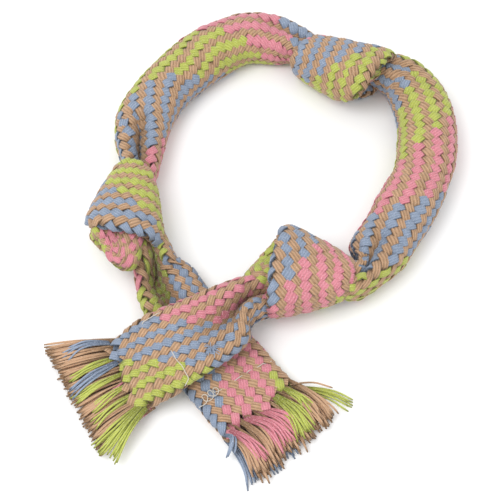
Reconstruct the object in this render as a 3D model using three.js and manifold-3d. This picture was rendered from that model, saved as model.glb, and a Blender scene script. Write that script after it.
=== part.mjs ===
// Rope dog toy: one length of tubular braid tied into an open ring by three overhand knots, with two
// frayed tails that cross at the front. Millimetres, +Z up, the floor at z = 0, the front towards -Y.
// Every stretch of the rope is a solid of its own, so each neck between a knot and its neighbours can bend.

import * as THREE from 'three';
import { mergeVertices } from 'three/addons/utils/BufferGeometryUtils.js';
import Module from 'manifold-3d';

const wasm = await Module();
wasm.setup();

// Rope sections, as width by thickness, and the shares that shape them: the flat where the rope lies on the
// floor, the squareness of a flattened section's corners, the width of the crease in it, and the depth of
// that crease at the ends of the spans and at the roots of the tails
const SPAN_WIDTH = 27;
const SPAN_THICKNESS = 22;
const TAIL_ROOT_WIDTH = 24;
const TAIL_ROOT_THICKNESS = 14;
const TAIL_WIDTH = 37;
const TAIL_THICKNESS = 9;
const SPAN_NECK_DIAMETER = 18;
const TAIL_NECK_DIAMETER = 17;
const FLOOR_FLAT = 0.1;
const CORNER_SQUARENESS = 0.8;
const CREASE_WIDTH = 0.35;
const SPAN_CREASE = 0.12;
const ROOT_CREASE = 0.55;
const SPAN_END_SWELL = 0.75;

// Knots: the flattened rope that wraps each one, and the strands tucked inside it
const BAND_THICKNESS = 7.5;
const SIDE_WIDTH = 27;
const ELBOW_WIDTH = 14;
const TUCK_WIDTH = 15;
const INNER_THICKNESS = 9;
const WRAP_SQUARENESS = 0.85;
// The wrap turns round the knot's axis in degrees from its top, over its right side and under the knot, and
// has spread into the band where that starts to cross the top
const WRAP_START = 20;
const WRAP_STEP = 40;
const WRAP_END = 500;
const UNDER_ANGLE = 180;
const BAND_START = 315;
const SIDE_ANGLES = [270, 450];
// The small turn that the direction of the wrap is taken over
const SMALL_TURN = 3;
// How fast the wrap closes in front of the band, as a multiple of its growth towards the band's front edge
const FRONT_CLOSE = 2.5;
// How deep the wrap lies under its outer layer, by that angle, in thicknesses of the band
const WRAP_DEPTHS = [[20, 1], [90, 0.6], [360, 0], [500, 0]];
// Where the elbow has gone back to, from its turn, at the angles where it passes down the knot's side
const ELBOW_BACK = [[20, 0], [60, 11], [100, 15]];
const UNDER_FORWARD = 8;
const TUCK_FORWARD = -8.5;
// The strand on its way in: forward, left, and the share of the climb from the neck to under the band
const INNER_ROUTE = [[-10, 1, 0.45], [-2, 0, 0.8]];
// The turn: forward of the elbow, left, below the inner strand, and the way that its width points
const TURN_ROUTE = [[-12, 2, 0, 0.1, 1], [3, 3, 1, 1, 0.8]];
// Where the inner strand ends and the elbow starts, counted in points back from the start of the wrap, and
// where the elbow ends under the knot and the band starts, counted on from there
const TURN_BACK = 1.4;
const UNDER_ON = 5;
// The strand on its way out: forward, left, above the underside of the knot, and the way its width points
const TUCK_ROUTE = [[-8.5, 1.5, -1.1, 1, -0.8], [-1, 4.5, 0.9, 0.2, -1], [8, 8, 1.5, 0, -1]];

// Gaps that keep neighbours apart
const NECK_CLEARANCE = 0.45;
const TOUCH_CLEARANCE = 0.35;

// Frayed ends and the thread sewn across each tail. A bundle's root is a share of the tail's thickness, its
// root and tip are shares of the width that it has room for, and it is thinner towards the tail's edges
const BUNDLE_THICKNESS = 6;
const BUNDLE_ROOT = 0.8;
const BUNDLE_ROOT_WIDTH = 0.96;
const BUNDLE_TIP_WIDTH = 1.15;
const EDGE_THINNING = 0.5;
const EDGE_POWER = 4;
const THREAD_DIAMETER = 0.8;
// Places along the thread, as shares of the tail's half width
const THREAD_SHARES = [-0.94, -0.8, -0.5, 0, 0.5, 0.8, 0.94];

// Yarn colours and their dullness
const TAN = 0xb5906c;
const BLUE = 0x94aecb;
const GREEN = 0xb9c566;
const PINK = 0xde92a5;
const PALE = 0xd8d4c8;
const YARN_ROUGHNESS = 0.95;

// Roundness of the model: sides of each section, rings of sections to each listed point of a route and along
// each stretch of a knot, and the angles of the rings on a neck's round end
const SPAN_SIDES = 16;
const KNOT_SIDES = 12;
const BUNDLE_SIDES = 8;
const SEAT_SIDES = 20;
const SEAT_ROWS = 14;
const SPAN_RINGS = 2;
const TAIL_ROOT_RINGS = 2;
const TAIL_END_RINGS = 3;
const BUNDLE_RINGS = 3;
const BAND_RINGS = 18;
const ELBOW_RINGS = 12;
const TUCK_RINGS = 8;
const INNER_RINGS = 6;
const ROUND_END_ANGLES = [25, 50, 72];

// Moves the routes so that the origin lies under the middle of the outline
const ROUTE_SHIFT = new THREE.Vector2(-4.55, -14.32);

// Centre lines on the floor, from the left knot round to the right knot
const LEFT_SPAN_ROUTE = [
  [-50.5, 58.5], [-48.5, 73], [-40.5, 89], [-29, 103], [-16, 114.5], [-1.5, 121.5], [12, 120.5],
];
const RIGHT_SPAN_ROUTE = [
  [77, 89], [81.5, 73.5], [81.5, 57], [78, 40], [70.5, 24], [62, 8.5], [54, -4],
];

// Tails, from the knot outwards: place, and how far the section has spread from the root to its full width
const OVER_TAIL_ROUTE = [
  [-9, -37, 0.45], [-18.5, -43, 0.8], [-28, -48, 1], [-37.5, -53, 1], [-46, -57.5, 1], [-53, -61.5, 1.1],
];
const UNDER_TAIL_ROUTE = [
  [-37, -13, 0.15], [-32, -23, 0.45], [-25.5, -34, 0.75], [-18, -45, 1], [-10, -56.5, 1], [-2, -67, 1],
  [5.5, -76, 1.1],
];
// The over tail's height at each point: 1 where it lies on the under tail, 0 on the floor
const OVER_TAIL_LIFT = [1, 1, 0.97, 0.72, 0.35, 0.1];
// The under tail is this far spread where the over tail first covers it
const CROSSING_SPREAD = 0.7;
// Where each tail can bend up and where its thread lies, counted in points along its route, and its frayed
// end: the reach past the braid, the sideways spread of the tips to the left and right of the tail, and the
// main colour of each bundle from the right
const OVER_TAIL = {
  name: 'over_tail', points: OVER_TAIL_ROUTE.length, cut: 4.35, stitch: 3.45, reach: 21, left: 25, right: 32,
  colours: [BLUE, TAN, GREEN, TAN, GREEN],
};
const UNDER_TAIL = {
  name: 'under_tail', points: UNDER_TAIL_ROUTE.length, cut: 5.6, stitch: 5.2, reach: 20, left: 25, right: 24,
  colours: [BLUE, TAN, PINK, TAN, GREEN],
};

// Knots: middle and heading (degrees) from the neck towards the front of the wrap, the width and height of
// the wrap at its rear and front edges, how far the wrap leans forward from one side to the other, the
// band's width, how far ahead of the middle it lies and the angle where it starts to narrow, where the elbow
// turns, and the middle of each neck (forward, left, up)
const LEFT_KNOT = {
  name: 'left_knot', middle: [-53, 20.5], heading: -95, width: [20, 43], height: [20, 29], lean: 7,
  band: 43, ahead: 0, band_end: 405, elbow: 24.5, entry: [-21.3, 1.5, 10], exit: [24.5, 14, 9.5],
};
const TOP_KNOT = {
  name: 'top_knot', middle: [40.3, 102], heading: -31, width: [24, 41], height: [20, 28], lean: 5.5,
  band: 43.5, ahead: 3, band_end: 440, elbow: 12.5, entry: [-21.5, 3, 10], exit: [27.2, 10.7, 10],
};
const RIGHT_KNOT = {
  name: 'right_knot', middle: [26.5, -15.8], heading: 175, width: [20, 53], height: [20, 29], lean: 4,
  band: 35, ahead: 0, band_end: 405, elbow: 18.5, entry: [-20.5, -1.8, 10], exit: [24.5, 14, 13],
};

const UP = new THREE.Vector3(0, 0, 1);

// A station of the rope: its centre, its half width and half thickness as vectors, and its crease's depth
function station(centre, half_width, half_thickness, fold = 0) {
  return { centre, wide: half_width, thick: half_thickness, fold };
}

function mix(a, b, share) {
  return a + (b - a) * share;
}

function restHeight(thickness) {
  return thickness * (0.5 - FLOOR_FLAT);
}

function onPlan([x, y], z) {
  return new THREE.Vector3(x + ROUTE_SHIFT.x, y + ROUTE_SHIFT.y, z);
}

// Stations along a list of centre points, level across, with the width and thickness given for each point
function levelStations(points, widths, thicknesses, folds) {
  return points.map((point, i) => {
    const before = points[Math.max(i - 1, 0)];
    const after = points[Math.min(i + 1, points.length - 1)];
    const ahead = after.clone().sub(before).setZ(0).normalize();
    const left = UP.clone().cross(ahead);
    const wide = left.multiplyScalar(widths[i] / 2);
    return station(point, wide, UP.clone().multiplyScalar(thicknesses[i] / 2), folds[i]);
  });
}

function spanStations(route) {
  const points = route.map((place) => onPlan(place, restHeight(SPAN_THICKNESS)));
  const ends = [0, route.length - 1];
  const end_width = mix(SPAN_NECK_DIAMETER, SPAN_WIDTH, SPAN_END_SWELL);
  const widths = route.map((_, i) => (ends.includes(i) ? end_width : SPAN_WIDTH));
  const folds = route.map((_, i) => (ends.includes(i) ? SPAN_CREASE : 0));
  return levelStations(points, widths, route.map(() => SPAN_THICKNESS), folds);
}

function tailThickness(spread) {
  return mix(TAIL_ROOT_THICKNESS, TAIL_THICKNESS, spread);
}

function tailStations(route, lifts) {
  const under_top = tailThickness(CROSSING_SPREAD) * (1 - FLOOR_FLAT);
  const thicknesses = route.map(([, , spread]) => tailThickness(spread));
  const points = route.map(([x, y], i) => {
    const on_floor = restHeight(thicknesses[i]);
    const on_tail = under_top + TOUCH_CLEARANCE + thicknesses[i] / 2;
    return onPlan([x, y], mix(on_floor, on_tail, lifts[i]));
  });
  const widths = route.map(([, , spread]) => mix(TAIL_ROOT_WIDTH, TAIL_WIDTH, spread));
  const folds = route.map(([, , spread]) => ROOT_CREASE * (1 - spread));
  return levelStations(points, widths, thicknesses, folds);
}

// The middle surface of a knot's wrap: an upright oval round the knot's axis that grows from the rear to the
// front edge of the band and shrinks again before it
function wrapSurface(knot, forward, angle, inset) {
  const beyond = (forward - knot.ahead) / knot.band - 0.5;
  const share = 1 + Math.min(beyond, -FRONT_CLOSE * beyond);
  const half_width = (mix(...knot.width, share) - BAND_THICKNESS) / 2 - inset;
  const half_height = (mix(...knot.height, share) - BAND_THICKNESS) / 2;
  const round = (value) => Math.sign(value) * Math.abs(value) ** WRAP_SQUARENESS;
  const top_inset = inset * Math.max(Math.cos(angle), 0);
  const across = -half_width * round(Math.sin(angle));
  const height = half_height + BAND_THICKNESS / 2 + (half_height - top_inset) * round(Math.cos(angle));
  return new THREE.Vector3(forward, across, height);
}

// The value at an angle from a list of angles and values
function keyed(keys, degrees) {
  const next = Math.max(keys.findIndex(([at]) => at >= degrees), 1);
  const [a, b] = [keys[next - 1], keys[next]];
  return mix(a[1], b[1], (degrees - a[0]) / (b[0] - a[0]));
}

// One station of the wrap, which goes round the knot for a turn and a third
function wrapStation(knot, degrees) {
  const forward = keyed([
    ...ELBOW_BACK.map(([at, back]) => [at, knot.elbow - back]),
    [UNDER_ANGLE, UNDER_FORWARD], [SIDE_ANGLES[0], knot.ahead + knot.lean / 2],
    [SIDE_ANGLES[1], knot.ahead - knot.lean / 2], [WRAP_END, TUCK_FORWARD],
  ], degrees);
  const half_width = keyed([
    [WRAP_START, ELBOW_WIDTH], [UNDER_ANGLE, SIDE_WIDTH], [BAND_START, knot.band],
    [knot.band_end, knot.band], [WRAP_END, TUCK_WIDTH],
  ], degrees) / 2;
  const inset = BAND_THICKNESS * keyed(WRAP_DEPTHS, degrees);
  const angle = THREE.MathUtils.degToRad(degrees);
  const small = THREE.MathUtils.degToRad(SMALL_TURN);
  const front = wrapSurface(knot, forward + half_width, angle, inset);
  const rear = wrapSurface(knot, forward - half_width, angle, inset);
  const ahead = wrapSurface(knot, forward, angle + small, inset);
  ahead.sub(wrapSurface(knot, forward, angle - small, inset));
  const wide = front.clone().sub(rear).multiplyScalar(0.5);
  const thick = ahead.cross(wide).normalize().multiplyScalar(BAND_THICKNESS / 2);
  return station(front.add(rear).multiplyScalar(0.5), wide, thick);
}

// A knot's rope from neck to neck: in under the wrap, round the elbow, once round the knot, and out
function knotStations(knot) {
  const half_inner = INNER_THICKNESS / 2;
  const half_tuck = TUCK_WIDTH / 2;
  const flat = (x, y, z, wide_x, wide_y, half_width, thick_z) => station(
    new THREE.Vector3(x, y, z),
    new THREE.Vector3(wide_x, wide_y, 0).normalize().multiplyScalar(half_width),
    new THREE.Vector3(0, 0, thick_z),
  );
  const under_band = knot.height[1] - BAND_THICKNESS - half_inner;
  const over_floor = BAND_THICKNESS;
  const into = [
    flat(...knot.entry, 0, 1, SPAN_NECK_DIAMETER / 2, SPAN_NECK_DIAMETER / 2),
    ...INNER_ROUTE.map(([x, y, climb]) => (
      flat(x, y, mix(knot.entry[2], under_band, climb), 0, 1, half_tuck, half_inner)
    )),
    ...TURN_ROUTE.map(([x, y, drop, wide_x, wide_y]) => (
      flat(knot.elbow + x, y, under_band - drop, wide_x, wide_y, half_tuck, half_inner)
    )),
  ];
  const wrap = [];
  for (let degrees = WRAP_START; degrees <= WRAP_END; degrees += WRAP_STEP) {
    wrap.push(wrapStation(knot, degrees));
  }
  const out = [
    ...TUCK_ROUTE.map(([x, y, rise, wide_x, wide_y]) => (
      flat(x, y, over_floor + rise, wide_x, wide_y, half_tuck, -half_inner)
    )),
    flat(...knot.exit, 0, -1, knot.exit_neck / 2, -knot.exit_neck / 2),
  ];
  const turn = new THREE.Matrix4().makeRotationZ(THREE.MathUtils.degToRad(knot.heading));
  const middle = onPlan(knot.middle, 0);
  const stations = [...into, ...wrap, ...out].map((one) => station(
    one.centre.applyMatrix4(turn).add(middle), one.wide.applyMatrix4(turn), one.thick.applyMatrix4(turn),
  ));
  const wrap_from = into.length;
  const wrap_to = wrap_from + wrap.length - 1;
  const marks = { turn: wrap_from - TURN_BACK, wrap_from, under: wrap_from + UNDER_ON, wrap_to };
  return { stations, marks };
}

// The rope from end to end. Each block is turned half round where that carries the section on without a twist
const rope = [];

function append(stations) {
  const last = rope.at(-1);
  const turned = last && last.thick.dot(stations[0].thick) < 0;
  for (const one of stations) {
    const sign = turned ? -1 : 1;
    rope.push(station(one.centre, one.wide.multiplyScalar(sign), one.thick.multiplyScalar(sign), one.fold));
  }
  return rope.length - stations.length;
}

function reversed(stations) {
  return stations.toReversed().map((one) => ({ ...one, wide: one.wide.clone().negate() }));
}

// Adds a knot and notes where its necks and its stretches meet along the rope
function appendKnot(knot, exit_neck, backwards) {
  const { stations, marks } = knotStations({ ...knot, exit_neck });
  const start = append(backwards ? reversed(stations) : stations);
  const count = stations.length - 1;
  const at = (index) => start + (backwards ? count - index : index);
  return {
    name: knot.name,
    entry_at: at(0),
    turn_at: at(marks.turn),
    wrap_from: at(marks.wrap_from),
    under_at: at(marks.under),
    wrap_to: at(marks.wrap_to),
    exit_at: at(count),
  };
}

const floor_lifts = UNDER_TAIL_ROUTE.map(() => 0);
append(reversed(tailStations(UNDER_TAIL_ROUTE, floor_lifts)));
const left_knot = appendKnot(LEFT_KNOT, TAIL_NECK_DIAMETER, true);
append(spanStations(LEFT_SPAN_ROUTE));
const top_knot = appendKnot(TOP_KNOT, SPAN_NECK_DIAMETER, false);
append(spanStations(RIGHT_SPAN_ROUTE));
const right_knot = appendKnot(RIGHT_KNOT, TAIL_NECK_DIAMETER, false);
append(tailStations(OVER_TAIL_ROUTE, OVER_TAIL_LIFT));

// A station anywhere along the rope, by a smooth curve through the listed ones
const centre_curve = new THREE.CatmullRomCurve3(rope.map((one) => one.centre), false, 'catmullrom', 0.5);
const wide_curve = new THREE.CatmullRomCurve3(rope.map((one) => one.wide), false, 'catmullrom', 0.5);
const thick_curve = new THREE.CatmullRomCurve3(rope.map((one) => one.thick), false, 'catmullrom', 0.5);

function ropeAt(at) {
  const share = at / (rope.length - 1);
  const low = Math.min(Math.floor(at), rope.length - 2);
  const fold = mix(rope[low].fold, rope[low + 1].fold, at - low);
  return station(centre_curve.getPoint(share), wide_curve.getPoint(share), thick_curve.getPoint(share), fold);
}

function ropeBetween(from, to, steps) {
  return Array.from({ length: steps + 1 }, (_, i) => ropeAt(mix(from, to, i / steps)));
}

// A flattened section is squarer than an oval
function sectionPower(half_width, half_thickness) {
  return 2 + CORNER_SQUARENESS * Math.max(1 - half_thickness / half_width, 0);
}

// The outline of one station: a rounded flat oval with a crease in its upper side, flattened on the floor
function outline(one, sides, grow = 0) {
  const half_width = one.wide.length() + grow;
  const half_thickness = one.thick.length() + grow;
  const power = 2 / sectionPower(half_width, half_thickness);
  const round = (value) => Math.sign(value) * Math.abs(value) ** power;
  const upper = Math.sign(one.thick.z) || 1;
  return Array.from({ length: sides }, (_, j) => {
    const angle = (2 * Math.PI * j) / sides;
    const across = round(Math.cos(angle));
    const creased = Math.sin(angle) * upper > 0 ? one.fold : 0;
    const crease = creased * Math.exp(-((across / CREASE_WIDTH) ** 2));
    const through = round(Math.sin(angle)) * (1 - crease);
    const point = one.centre.clone();
    point.addScaledVector(one.wide.clone().normalize(), across * half_width);
    point.addScaledVector(one.thick.clone().normalize(), through * half_thickness);
    return point.setZ(Math.max(point.z, 0));
  });
}

// A closed tube through outlines of equal numbers of points
function tube(outlines) {
  const sides = outlines[0].length;
  const vertices = outlines.flat();
  const triangles = [];
  const cap = (first, order) => {
    const centre = vertices.length;
    const ring = vertices.slice(first, first + sides);
    vertices.push(ring.reduce((sum, point) => sum.add(point), new THREE.Vector3()).divideScalar(sides));
    for (let j = 0; j < sides; j += 1) {
      const pair = [first + j, first + ((j + 1) % sides)];
      triangles.push(centre, ...(order > 0 ? pair : pair.reverse()));
    }
  };
  for (let i = 0; i + 1 < outlines.length; i += 1) {
    for (let j = 0; j < sides; j += 1) {
      const [a, b] = [i * sides + j, i * sides + ((j + 1) % sides)];
      triangles.push(a, b, b + sides, a, b + sides, a + sides);
    }
  }
  cap(0, -1);
  cap((outlines.length - 1) * sides, 1);
  const geometry = new THREE.BufferGeometry().setFromPoints(vertices);
  geometry.setIndex(triangles);
  return geometry;
}

function solid(geometry) {
  const bare = geometry.clone();
  bare.deleteAttribute('normal');
  bare.deleteAttribute('uv');
  const merged = mergeVertices(bare);
  const vertProperties = new Float32Array(merged.getAttribute('position').array);
  const triVerts = new Uint32Array(merged.index.array);
  return new wasm.Manifold(new wasm.Mesh({ numProp: 3, vertProperties, triVerts }));
}

function surface(body) {
  const mesh = body.getMesh();
  const geometry = new THREE.BufferGeometry();
  geometry.setAttribute('position', new THREE.BufferAttribute(mesh.vertProperties, 3));
  geometry.setIndex(new THREE.BufferAttribute(mesh.triVerts, 1));
  return geometry;
}

// The largest body left by a cut, without the slivers beside it
function largest(body) {
  return body.decompose().sort((a, b) => b.volume() - a.volume())[0];
}

// A stretch of rope inside a knot
function pressedRope(stations, grow = 0) {
  return solid(tube(stations.map((one) => outline(one, KNOT_SIDES, grow))));
}

// The room that such a stretch takes up with the gap that its neighbours keep, at its ends as well
function pressedRoom(stations) {
  const beyond = (end, inner) => {
    const out = end.centre.clone().sub(inner.centre).setLength(TOUCH_CLEARANCE);
    return { ...end, centre: end.centre.clone().add(out) };
  };
  const first = beyond(stations[0], stations[1]);
  const last = beyond(stations.at(-1), stations.at(-2));
  return pressedRope([first, ...stations, last], TOUCH_CLEARANCE);
}

// The round end that a span or a tail turns on inside a knot, grown by the clearance for the seat it needs
function neckSeat(at, diameter) {
  const seat = new THREE.SphereGeometry(diameter / 2 + NECK_CLEARANCE, SEAT_SIDES, SEAT_ROWS);
  const { x, y, z } = ropeAt(at).centre;
  return solid(seat.translate(x, y, z));
}

// Outlines of the round end of a neck, from its middle towards the knot or back from it
function roundEnd(at, diameter, direction) {
  const neck = ropeAt(at);
  const ahead = neck.wide.clone().cross(neck.thick).normalize().multiplyScalar(direction);
  const radius = diameter / 2;
  return ROUND_END_ANGLES.map((degrees) => {
    const angle = THREE.MathUtils.degToRad(degrees);
    const centre = neck.centre.clone().addScaledVector(ahead, radius * Math.sin(angle));
    const size = radius * Math.cos(angle);
    const end = station(centre, neck.wide.clone().setLength(size), neck.thick.clone().setLength(size));
    return outline(end, SPAN_SIDES);
  });
}

const toy = new THREE.Group();

function addMesh(name, geometry, colour) {
  const material = new THREE.MeshStandardMaterial({ color: colour, roughness: YARN_ROUGHNESS, metalness: 0 });
  const mesh = new THREE.Mesh(geometry, material);
  mesh.name = name;
  toy.add(mesh);
}

// A knot is four solids in a row: the strand that enters under the wrap, the elbow where it turns and passes
// under the knot, the band that crosses the top, and the strand tucked back through
function addKnot(knot, exit_diameter) {
  const entry_seat = neckSeat(knot.entry_at, SPAN_NECK_DIAMETER);
  const exit_seat = neckSeat(knot.exit_at, exit_diameter);
  const stretches = {
    band: [knot.under_at, knot.wrap_to, BAND_RINGS],
    elbow: [knot.turn_at, knot.under_at, ELBOW_RINGS],
    tucked_strand: [knot.wrap_to, knot.exit_at, TUCK_RINGS],
    inner_strand: [knot.entry_at, knot.turn_at, INNER_RINGS],
  };
  let taken = entry_seat.add(exit_seat);
  for (const [name, [from, to, steps]] of Object.entries(stretches)) {
    const stations = ropeBetween(Math.min(from, to), Math.max(from, to), steps);
    const piece = largest(pressedRope(stations).subtract(taken));
    taken = taken.add(pressedRoom(stations));
    addMesh(`${knot.name}_${name}`, surface(piece), TAN);
  }
}

addKnot(left_knot, TAIL_NECK_DIAMETER);
addKnot(top_knot, SPAN_NECK_DIAMETER);
addKnot(right_knot, TAIL_NECK_DIAMETER);

// Spans between the knots, with a round end at each neck
function addSpan(name, from, to) {
  const steps = SPAN_RINGS * (to - from);
  const along = ropeBetween(from, to, steps).map((one) => outline(one, SPAN_SIDES));
  const start = roundEnd(from, SPAN_NECK_DIAMETER, -1).reverse();
  addMesh(name, tube([...start, ...along, ...roundEnd(to, SPAN_NECK_DIAMETER, 1)]), TAN);
}

addSpan('left_span', left_knot.entry_at, top_knot.entry_at);
addSpan('right_span', top_knot.exit_at, right_knot.entry_at);

// A tail is two stretches that part at the cut, so that its end can lift, with a thread and a frayed end
function addTail(tail, neck_at, direction) {
  const at = (count) => neck_at + direction * count;
  const ringed = (one) => outline(one, SPAN_SIDES);
  const root_steps = Math.round(TAIL_ROOT_RINGS * tail.cut);
  const root = ropeBetween(neck_at, at(tail.cut), root_steps).map(ringed);
  const end_steps = Math.round(TAIL_END_RINGS * (tail.points - tail.cut));
  const end_stations = ropeBetween(at(tail.cut), at(tail.points), end_steps);
  const end = end_stations.map(ringed);
  const ahead = end_stations.at(-1).centre.clone().sub(end_stations.at(-2).centre).setZ(0).normalize();
  const step_back = ahead.clone().multiplyScalar(-TOUCH_CLEARANCE);
  root.at(-1).forEach((point) => point.add(step_back));
  const whole = [...roundEnd(neck_at, TAIL_NECK_DIAMETER, -direction).reverse(), ...root];
  const facing = (outlines) => (direction > 0 ? outlines : outlines.toReversed());
  addMesh(tail.name, tube(facing(whole)), TAN);
  addMesh(`${tail.name}_end`, tube(facing(end)), TAN);
  addMesh(`${tail.name}_stitch`, stitch(ropeAt(at(tail.stitch))), PALE);
  addFringe(tail, end_stations.at(-1), ahead);
}

// The sewing thread lies across the upper side of a tail
function stitch(one) {
  const upper = Math.sign(one.thick.z);
  const half_thickness = one.thick.length();
  const half_width = one.wide.length();
  const raised = TOUCH_CLEARANCE + THREAD_DIAMETER / 2;
  const power = sectionPower(half_width, half_thickness);
  const ahead = one.wide.clone().cross(one.thick).normalize();
  const points = THREAD_SHARES.map((across) => {
    const through = (1 - Math.abs(across) ** power) ** (1 / power);
    const point = one.centre.clone().addScaledVector(one.wide, across * (1 + raised / half_width));
    return point.addScaledVector(UP, through * half_thickness + raised);
  });
  const rings = points.map((point, i) => {
    const before = points[Math.max(i - 1, 0)];
    const after = points[Math.min(i + 1, points.length - 1)];
    const along = after.clone().sub(before).normalize();
    const outward = along.clone().cross(ahead).multiplyScalar(upper);
    return Array.from({ length: BUNDLE_SIDES }, (_, j) => {
      const angle = (2 * Math.PI * j) / BUNDLE_SIDES;
      const offset = outward.clone().multiplyScalar(Math.cos(angle));
      offset.addScaledVector(along.clone().cross(outward), Math.sin(angle));
      return point.clone().addScaledVector(offset, THREAD_DIAMETER / 2);
    });
  });
  return tube(rings);
}

// Bundles of loose yarn that fan out from the end of a tail. Each is thinner at the tail's edges, as the
// tail is, and a little wider at its tip
function addFringe(tail, end, ahead) {
  const left = UP.clone().cross(ahead);
  const half_width = end.wide.length();
  const bundles = tail.colours.length;
  const root_half = half_width / bundles - TOUCH_CLEARANCE / 2;
  for (let i = 0; i < bundles; i += 1) {
    const share = (i + 0.5) / bundles;
    const root_across = mix(-half_width, half_width, share);
    const tip_across = mix(-tail.right, tail.left, share);
    const thinning = EDGE_THINNING * (root_across / half_width) ** EDGE_POWER;
    const root_thickness = BUNDLE_ROOT * TAIL_THICKNESS * (1 - thinning);
    const rings = Array.from({ length: BUNDLE_RINGS + 1 }, (_, ring) => {
      const reach = ring / BUNDLE_RINGS;
      const out = mix(TOUCH_CLEARANCE, tail.reach, reach);
      const across = mix(root_across, tip_across, reach);
      const thickness = mix(root_thickness, BUNDLE_THICKNESS, reach);
      const centre = end.centre.clone().addScaledVector(ahead, out).addScaledVector(left, across);
      centre.setZ(restHeight(thickness));
      const half = root_half * mix(BUNDLE_ROOT_WIDTH, BUNDLE_TIP_WIDTH, reach);
      const one = station(centre, left.clone().setLength(half), UP.clone().setLength(thickness / 2));
      return outline(one, BUNDLE_SIDES);
    });
    addMesh(`${tail.name}_fringe_${i + 1}`, tube(rings), tail.colours[i]);
  }
}

addTail(OVER_TAIL, right_knot.exit_at, 1);
addTail(UNDER_TAIL, left_knot.exit_at, -1);

export default toy;
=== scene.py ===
# Rope dog toy: one length of jute and cotton braid, knotted into a ring, with two frayed tails.
# Lengths in this script are millimetres until they become Blender vertices, which are metres.
import math

import bpy
import numpy as np
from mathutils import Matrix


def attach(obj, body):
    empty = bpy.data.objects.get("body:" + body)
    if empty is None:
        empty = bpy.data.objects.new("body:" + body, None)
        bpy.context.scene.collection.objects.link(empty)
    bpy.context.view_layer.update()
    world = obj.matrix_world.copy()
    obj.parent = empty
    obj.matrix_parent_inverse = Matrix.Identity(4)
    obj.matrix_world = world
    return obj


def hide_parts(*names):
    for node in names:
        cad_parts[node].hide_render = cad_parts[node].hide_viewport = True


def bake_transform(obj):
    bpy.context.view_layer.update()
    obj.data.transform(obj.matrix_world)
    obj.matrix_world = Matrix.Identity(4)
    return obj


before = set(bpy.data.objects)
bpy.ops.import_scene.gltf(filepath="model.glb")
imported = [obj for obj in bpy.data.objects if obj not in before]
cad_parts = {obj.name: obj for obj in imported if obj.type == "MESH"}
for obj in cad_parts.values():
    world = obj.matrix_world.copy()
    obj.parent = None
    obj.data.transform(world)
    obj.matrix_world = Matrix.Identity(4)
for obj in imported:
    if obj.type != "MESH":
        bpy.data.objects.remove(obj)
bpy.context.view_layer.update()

ROPE_SEED, FRIZZ_SEED = 11, 5
rng = np.random.default_rng(ROPE_SEED)
MM = 0.001
TINY = 1e-9
UP = np.array([0.0, 0.0, 1.0])
# Nearly upright: what the sides of a round tube are set out from
OFF_UP = UP + (0.13, 0.07, 0)

# Camera, and the point of the routes that it looks at
ELEVATION = math.radians(58)
LENS = 85
SENSOR = 36
DISTANCE = 513.5
LOOKS_AT = (0, 0, 8)

# Floor and lights, in metres and watts: each light has a place, size and power
FLOOR_HALF_WIDTH = 3.0
FLOOR_FINISH = {"Base Color": (0.93, 0.93, 0.93, 1), "Roughness": 0.8}
SKY = {"Color": (1, 1, 1, 1), "Strength": 0.95}
LIGHTS = {"key": ((-0.45, -0.25, 0.9), 0.6, 5), "fill": ((0.6, -0.5, 0.7), 0.9, 1)}

# Rope sections, as in the solids
SPAN_WIDTH, SPAN_THICKNESS = 27, 22
TAIL_ROOT_WIDTH, TAIL_ROOT_THICKNESS = 24, 14
TAIL_WIDTH, TAIL_THICKNESS = 37, 9
SPAN_NECK_DIAMETER, TAIL_NECK_DIAMETER = 18, 17
FLOOR_FLAT = 0.1
CORNER_SQUARENESS = 0.8
SPAN_END_SWELL = 0.75
TOUCH_CLEARANCE = 0.35

# Creases in the rope's upper side: their width as a share of the half width, their depth as a share of the
# half thickness at a tail's root and at both ends of a span, and how far to a tail's left they lie
CREASE_WIDTH = 0.36
UNDER_CREASE, OVER_CREASE = 2.5, 2
LEFT_SPAN_CREASES, RIGHT_SPAN_CREASES = (0.8, 0.3), (0.15, 0.5)
UNDER_CREASE_PLACE, OVER_CREASE_PLACE = -0.3, 0.1

# Knots, as in the solids. The wrap turns round the knot's axis in degrees from its top, over its right side
# and under the knot
BAND_THICKNESS = 7.5
SIDE_WIDTH, ELBOW_WIDTH, TUCK_WIDTH = 27, 14, 15
INNER_THICKNESS = 9
WRAP_SQUARENESS = 0.85
WRAP_START, WRAP_STEP, WRAP_END = 20, 40, 500
WRAP_ANGLES = range(WRAP_START, WRAP_END + 1, WRAP_STEP)
UNDER_ANGLE, BAND_START = 180, 315
SIDE_ANGLES = (270, 450)
SMALL_TURN = math.radians(3)
# How deep the wrap lies under its outer layer and how far the elbow has gone back, by that angle
WRAP_DEPTHS = ((WRAP_START, 1), (90, 0.6), (360, 0), (WRAP_END, 0))
ELBOW_BACK = ((WRAP_START, 0), (60, 11), (100, 15))
FRONT_CLOSE = 2.5
UNDER_FORWARD, TUCK_FORWARD = 8, -8.5
# The strand on its way in, round its turn and out: forward, left, climb, drop or rise, and its width's way
INNER_ROUTE = ((-10, 1, 0.45), (-2, 0, 0.8))
TURN_ROUTE = ((-12, 2, 0, 0.1, 1), (3, 3, 1, 1, 0.8))
TUCK_ROUTE = ((-8.5, 1.5, -1.1, 1, -0.8), (-1, 4.5, 0.9, 0.2, -1), (8, 8, 1.5, 0, -1))
KNOT_POINTS = len(INNER_ROUTE) + len(TURN_ROUTE) + len(WRAP_ANGLES) + len(TUCK_ROUTE) + 2

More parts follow.
